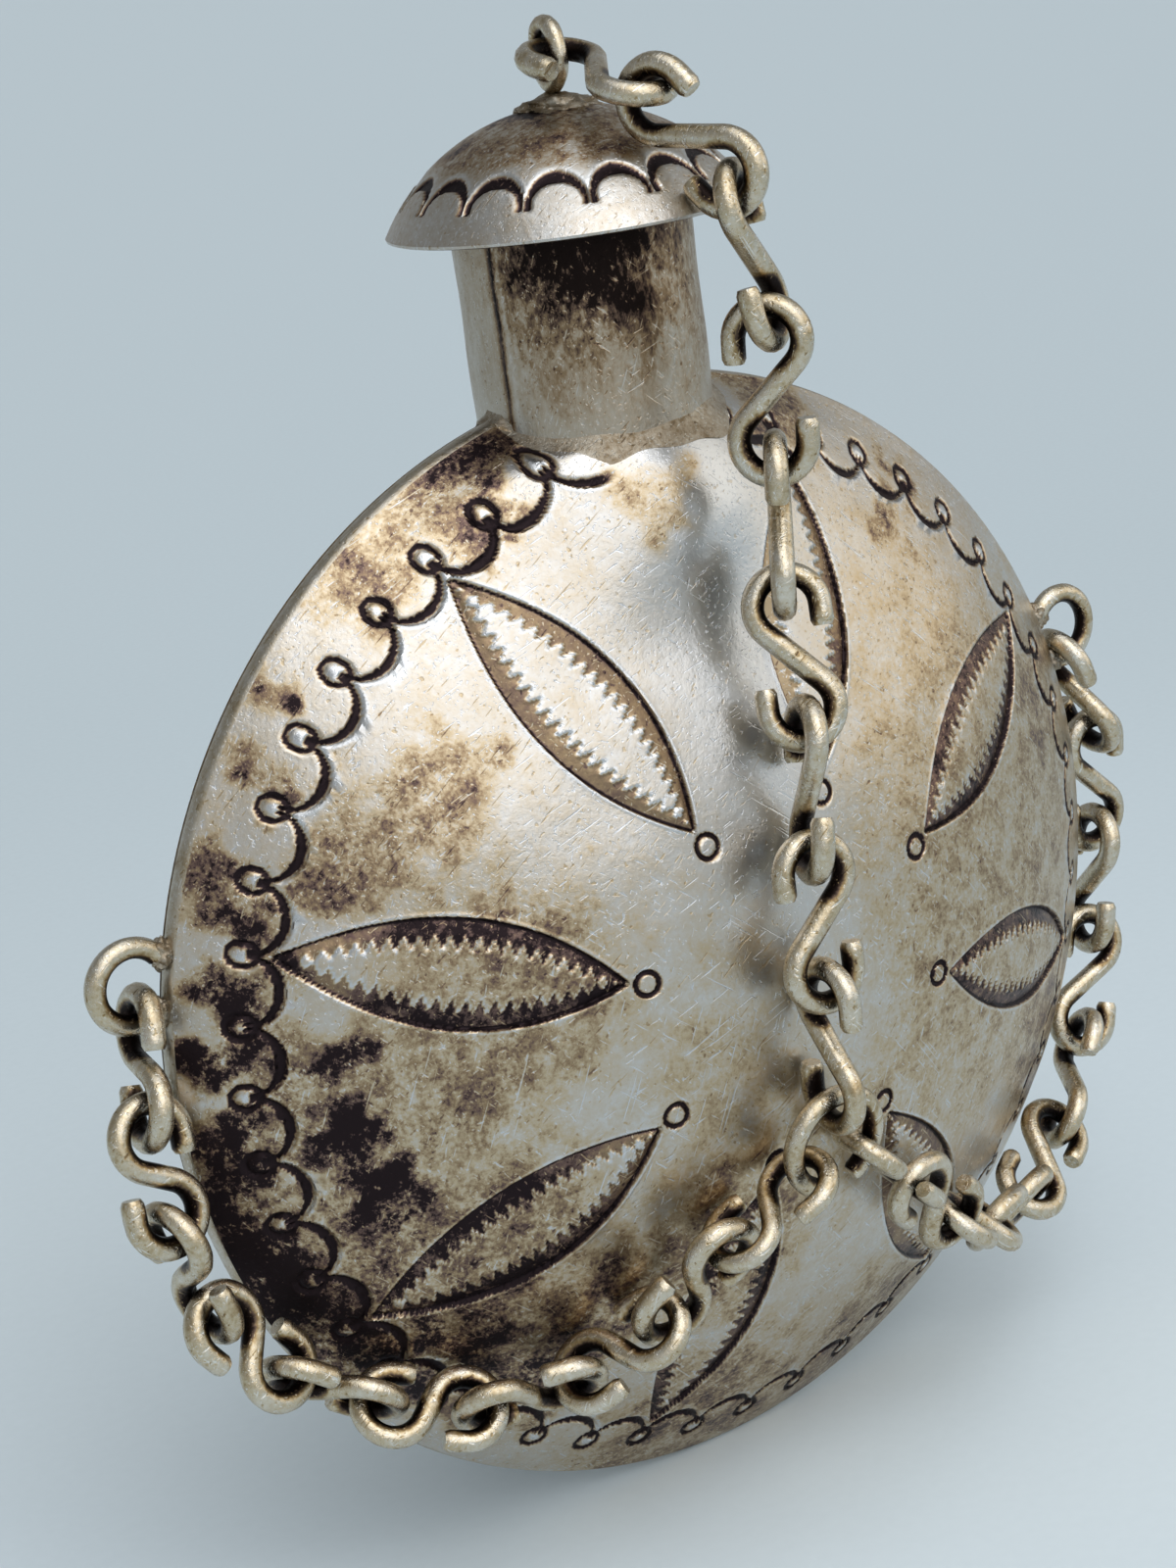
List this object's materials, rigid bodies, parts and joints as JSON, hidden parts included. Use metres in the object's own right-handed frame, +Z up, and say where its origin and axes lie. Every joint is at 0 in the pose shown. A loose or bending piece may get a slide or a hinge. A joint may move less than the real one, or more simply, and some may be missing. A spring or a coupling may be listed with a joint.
{
  "type": "tobacco canteen",
  "caption": "Hand-made silver tobacco canteen: lens-shaped stamped flask with a rolled neck, a domed plug stopper and an S-link chain from the stopper to two rim lugs.",
  "frame": {"origin": "the lowest point of the rim, in the middle plane between the two shells", "axes": "X to the right across the front face, Y from the front face to the back face, Z up along the neck"},
  "size_m": [0.0743, 0.0318, 0.0839],
  "materials": {
    "tarnished_silver_sheet": "hammered silver sheet with brown and black tarnish and fine scratches",
    "browned_silver_sheet": "rolled silver sheet browned and streaked by age",
    "polished_silver_sheet": "domed silver sheet rubbed bright by handling",
    "silver_solder": "matt pale solder with dark pits",
    "worn_silver_wire": "round silver wire, worn bright on top and black in the crevices"
  },
  "bodies": {
    "canteen": {"front_shell": "tarnished_silver_sheet", "back_shell": "tarnished_silver_sheet", "rim_band": "tarnished_silver_sheet", "neck_tube": "browned_silver_sheet", "neck_solder_bead": "silver_solder", "left_lug": "worn_silver_wire", "right_lug": "worn_silver_wire"},
    "stopper": {"cap_dome": "polished_silver_sheet", "stopper_plug": "browned_silver_sheet", "cap_ring": "worn_silver_wire"},
    "stopper_chain_01": {"stopper_chain_01": "worn_silver_wire"},
    "stopper_chain_02": {"stopper_chain_02": "worn_silver_wire"},
    "stopper_chain_03": {"stopper_chain_03": "worn_silver_wire"},
    "stopper_chain_04": {"stopper_chain_04": "worn_silver_wire"},
    "stopper_chain_05": {"stopper_chain_05": "worn_silver_wire"},
    "stopper_chain_06": {"stopper_chain_06": "worn_silver_wire"},
    "stopper_chain_07": {"stopper_chain_07": "worn_silver_wire"},
    "stopper_chain_08": {"stopper_chain_08": "worn_silver_wire"},
    "stopper_chain_09": {"stopper_chain_09": "worn_silver_wire"},
    "junction_ring": {"junction_ring": "worn_silver_wire"},
    "left_chain_01": {"left_chain_01": "worn_silver_wire"},
    "left_chain_02": {"left_chain_02": "worn_silver_wire"},
    "left_chain_03": {"left_chain_03": "worn_silver_wire"},
    "left_chain_04": {"left_chain_04": "worn_silver_wire"},
    "left_chain_05": {"left_chain_05": "worn_silver_wire"},
    "left_chain_06": {"left_chain_06": "worn_silver_wire"},
    "left_chain_07": {"left_chain_07": "worn_silver_wire"},
    "left_chain_08": {"left_chain_08": "worn_silver_wire"},
    "left_chain_09": {"left_chain_09": "worn_silver_wire"},
    "left_chain_10": {"left_chain_10": "worn_silver_wire"},
    "right_chain_01": {"right_chain_01": "worn_silver_wire"},
    "right_chain_02": {"right_chain_02": "worn_silver_wire"},
    "right_chain_03": {"right_chain_03": "worn_silver_wire"},
    "right_chain_04": {"right_chain_04": "worn_silver_wire"},
    "right_chain_05": {"right_chain_05": "worn_silver_wire"},
    "right_chain_06": {"right_chain_06": "worn_silver_wire"},
    "right_chain_07": {"right_chain_07": "worn_silver_wire"},
    "right_chain_08": {"right_chain_08": "worn_silver_wire"},
    "right_chain_09": {"right_chain_09": "worn_silver_wire"},
    "right_chain_10": {"right_chain_10": "worn_silver_wire"}
  },
  "joints": [
    {"name": "stopper_lift", "type": "slide", "parent": "canteen", "child": "stopper", "axis": [0, 0, 1], "range_m": [0, 0.008]},
    {"name": "stopper_chain_01_swing", "type": "hinge", "parent": "stopper", "child": "stopper_chain_01", "pos_m": [-0.00045, -0.00188, 0.08155], "axis": [-1, 0, 0], "range_deg": [0, 1.38]},
    {"name": "stopper_chain_02_swing", "type": "hinge", "parent": "stopper_chain_01", "child": "stopper_chain_02", "pos_m": [0.00047, -0.00752, 0.07967], "axis": [-1, 0, 0], "range_deg": [0, 1.38]},
    {"name": "stopper_chain_03_swing", "type": "hinge", "parent": "stopper_chain_02", "child": "stopper_chain_03", "pos_m": [0.00207, -0.01182, 0.07456], "axis": [-1, 0, 0], "range_deg": [0, 1.38]},
    {"name": "stopper_chain_04_swing", "type": "hinge", "parent": "stopper_chain_03", "child": "stopper_chain_04", "pos_m": [0.00249, -0.01277, 0.06766], "axis": [-1, 0, 0], "range_deg": [0, 1.38]},
    {"name": "stopper_chain_05_swing", "type": "hinge", "parent": "stopper_chain_04", "child": "stopper_chain_05", "pos_m": [0.00214, -0.01265, 0.06063], "axis": [-1, 0, 0], "range_deg": [0, 1.38]},
    {"name": "stopper_chain_06_swing", "type": "hinge", "parent": "stopper_chain_05", "child": "stopper_chain_06", "pos_m": [0.00175, -0.01269, 0.05361], "axis": [1, 0, 0], "range_deg": [0, 1.38]},
    {"name": "stopper_chain_07_swing", "type": "hinge", "parent": "stopper_chain_06", "child": "stopper_chain_07", "pos_m": [0.00094, -0.0141, 0.04678], "axis": [1, 0, 0], "range_deg": [0, 1.38]},
    {"name": "stopper_chain_08_swing", "type": "hinge", "parent": "stopper_chain_07", "child": "stopper_chain_08", "pos_m": [-0.00058, -0.01542, 0.04005], "axis": [1, 0, 0], "range_deg": [0, 1.38]},
    {"name": "stopper_chain_09_swing", "type": "hinge", "parent": "stopper_chain_08", "child": "stopper_chain_09", "pos_m": [-0.00114, -0.01606, 0.03308], "axis": [1, 0, 0], "range_deg": [0, 1.38]},
    {"name": "junction_ring_swing", "type": "hinge", "parent": "stopper_chain_09", "child": "junction_ring", "pos_m": [-0.00128, -0.01586, 0.0268], "axis": [1, 0, 0], "range_deg": [0, 1.38]},
    {"name": "left_chain_01_swing", "type": "hinge", "parent": "canteen", "child": "left_chain_01", "pos_m": [-0.03315, -0.00003, 0.0374], "axis": [-0.7053, -0.4515, 0.5465], "range_deg": [0, 14.05]},
    {"name": "left_chain_02_swing", "type": "hinge", "parent": "left_chain_01", "child": "left_chain_02", "pos_m": [-0.0342, -0.00143, 0.03303], "axis": [-0.9726, 0.0602, 0.2244], "range_deg": [0, 11.22]},
    {"name": "left_chain_03_swing", "type": "hinge", "parent": "left_chain_02", "child": "left_chain_03", "pos_m": [-0.03464, -0.00263, 0.02761], "axis": [-0.7963, 0.5992, -0.0828], "range_deg": [0, 6.55]},
    {"name": "left_chain_04_swing", "type": "hinge", "parent": "left_chain_03", "child": "left_chain_04", "pos_m": [-0.0333, -0.00324, 0.02225], "axis": [0.4192, 0.9007, 0.1139], "range_deg": [0, 2.91]},
    {"name": "left_chain_05_swing", "type": "hinge", "parent": "left_chain_04", "child": "left_chain_05", "pos_m": [-0.03006, -0.00385, 0.01778], "axis": [0.9108, -0.3044, 0.2789], "range_deg": [0, 6.17]},
    {"name": "left_chain_06_swing", "type": "hinge", "parent": "left_chain_05", "child": "left_chain_06", "pos_m": [-0.02568, -0.00486, 0.01451], "axis": [0.7564, -0.6483, 0.0868], "range_deg": [0, 10.06]},
    {"name": "left_chain_07_swing", "type": "hinge", "parent": "left_chain_06", "child": "left_chain_07", "pos_m": [-0.02081, -0.00696, 0.01289], "axis": [0.6508, -0.7466, -0.1381], "range_deg": [0, 10.79]},
    {"name": "left_chain_08_swing", "type": "hinge", "parent": "left_chain_07", "child": "left_chain_08", "pos_m": [-0.01585, -0.00941, 0.01343], "axis": [0.5524, -0.7288, -0.4047], "range_deg": [0, 7.78]},
    {"name": "left_chain_09_swing", "type": "hinge", "parent": "left_chain_08", "child": "left_chain_09", "pos_m": [-0.01164, -0.01181, 0.01615], "axis": [0.3466, -0.5376, -0.7687], "range_deg": [0, 4.01]},
    {"name": "left_chain_10_swing", "type": "hinge", "parent": "left_chain_09", "child": "left_chain_10", "pos_m": [-0.00768, -0.01371, 0.01961], "axis": [-0.0674, 0.2565, -0.9642], "range_deg": [0, 1.86]},
    {"name": "right_chain_01_swing", "type": "hinge", "parent": "canteen", "child": "right_chain_01", "pos_m": [0.03254, 0.00001, 0.0397], "axis": [-0.7083, -0.0355, -0.705], "range_deg": [0, 13.12]},
    {"name": "right_chain_02_swing", "type": "hinge", "parent": "right_chain_01", "child": "right_chain_02", "pos_m": [0.03468, 0.00047, 0.03443], "axis": [-0.9216, -0.348, 0.172], "range_deg": [0, 7.36]},
    {"name": "right_chain_03_swing", "type": "hinge", "parent": "right_chain_02", "child": "right_chain_03", "pos_m": [0.03478, 0.00104, 0.02788], "axis": [0.2631, 0.4112, 0.8727], "range_deg": [0, 5.12]},
    {"name": "right_chain_04_swing", "type": "hinge", "parent": "right_chain_03", "child": "right_chain_04", "pos_m": [0.03336, 0.00075, 0.02143], "axis": [0.3804, 0.7862, 0.487], "range_deg": [0, 8.89]},
    {"name": "right_chain_05_swing", "type": "hinge", "parent": "right_chain_04", "child": "right_chain_05", "pos_m": [0.03073, -0.00051, 0.01552], "axis": [-0.0925, 0.7604, 0.6428], "range_deg": [0, 9.31]},
    {"name": "right_chain_06_swing", "type": "hinge", "parent": "right_chain_05", "child": "right_chain_06", "pos_m": [0.0262, -0.0026, 0.01127], "axis": [-0.8264, -0.1874, 0.531], "range_deg": [0, 8.81]},
    {"name": "right_chain_07_swing", "type": "hinge", "parent": "right_chain_06", "child": "right_chain_07", "pos_m": [0.02058, -0.00552, 0.00961], "axis": [-0.7985, -0.6011, -0.0326], "range_deg": [0, 11.5]},
    {"name": "right_chain_08_swing", "type": "hinge", "parent": "right_chain_07", "child": "right_chain_08", "pos_m": [0.0149, -0.00863, 0.01073], "axis": [-0.5662, -0.7055, -0.4262], "range_deg": [0, 8.93]},
    {"name": "right_chain_09_swing", "type": "hinge", "parent": "right_chain_08", "child": "right_chain_09", "pos_m": [0.00985, -0.01144, 0.01391], "axis": [0.0326, -0.653, -0.7567], "range_deg": [0, 4.65]},
    {"name": "right_chain_10_swing", "type": "hinge", "parent": "right_chain_09", "child": "right_chain_10", "pos_m": [0.00533, -0.01362, 0.01821], "axis": [0.8505, -0.0917, -0.5179], "range_deg": [0, 3.2]}
  ],
  "couplings": [
    {"joint": "stopper_chain_01_swing", "follows": "stopper_lift", "rad_per_m": 3},
    {"joint": "stopper_chain_02_swing", "follows": "stopper_lift", "rad_per_m": 3},
    {"joint": "stopper_chain_03_swing", "follows": "stopper_lift", "rad_per_m": 3},
    {"joint": "stopper_chain_04_swing", "follows": "stopper_lift", "rad_per_m": 3},
    {"joint": "stopper_chain_05_swing", "follows": "stopper_lift", "rad_per_m": 3},
    {"joint": "stopper_chain_06_swing", "follows": "stopper_lift", "rad_per_m": 3},
    {"joint": "stopper_chain_07_swing", "follows": "stopper_lift", "rad_per_m": 3},
    {"joint": "stopper_chain_08_swing", "follows": "stopper_lift", "rad_per_m": 3},
    {"joint": "stopper_chain_09_swing", "follows": "stopper_lift", "rad_per_m": 3},
    {"joint": "junction_ring_swing", "follows": "stopper_lift", "rad_per_m": 3},
    {"joint": "left_chain_01_swing", "follows": "stopper_lift", "rad_per_m": 30.649},
    {"joint": "left_chain_02_swing", "follows": "stopper_lift", "rad_per_m": 24.472},
    {"joint": "left_chain_03_swing", "follows": "stopper_lift", "rad_per_m": 14.281},
    {"joint": "left_chain_04_swing", "follows": "stopper_lift", "rad_per_m": 6.3395},
    {"joint": "left_chain_05_swing", "follows": "stopper_lift", "rad_per_m": 13.459},
    {"joint": "left_chain_06_swing", "follows": "stopper_lift", "rad_per_m": 21.943},
    {"joint": "left_chain_07_swing", "follows": "stopper_lift", "rad_per_m": 23.538},
    {"joint": "left_chain_08_swing", "follows": "stopper_lift", "rad_per_m": 16.972},
    {"joint": "left_chain_09_swing", "follows": "stopper_lift", "rad_per_m": 8.7449},
    {"joint": "left_chain_10_swing", "follows": "stopper_lift", "rad_per_m": 4.0477},
    {"joint": "right_chain_01_swing", "follows": "stopper_lift", "rad_per_m": 28.624},
    {"joint": "right_chain_02_swing", "follows": "stopper_lift", "rad_per_m": 16.043},
    {"joint": "right_chain_03_swing", "follows": "stopper_lift", "rad_per_m": 11.166},
    {"joint": "right_chain_04_swing", "follows": "stopper_lift", "rad_per_m": 19.403},
    {"joint": "right_chain_05_swing", "follows": "stopper_lift", "rad_per_m": 20.312},
    {"joint": "right_chain_06_swing", "follows": "stopper_lift", "rad_per_m": 19.212},
    {"joint": "right_chain_07_swing", "follows": "stopper_lift", "rad_per_m": 25.09},
    {"joint": "right_chain_08_swing", "follows": "stopper_lift", "rad_per_m": 19.474},
    {"joint": "right_chain_09_swing", "follows": "stopper_lift", "rad_per_m": 10.136},
    {"joint": "right_chain_10_swing", "follows": "stopper_lift", "rad_per_m": 6.9795}
  ]
}
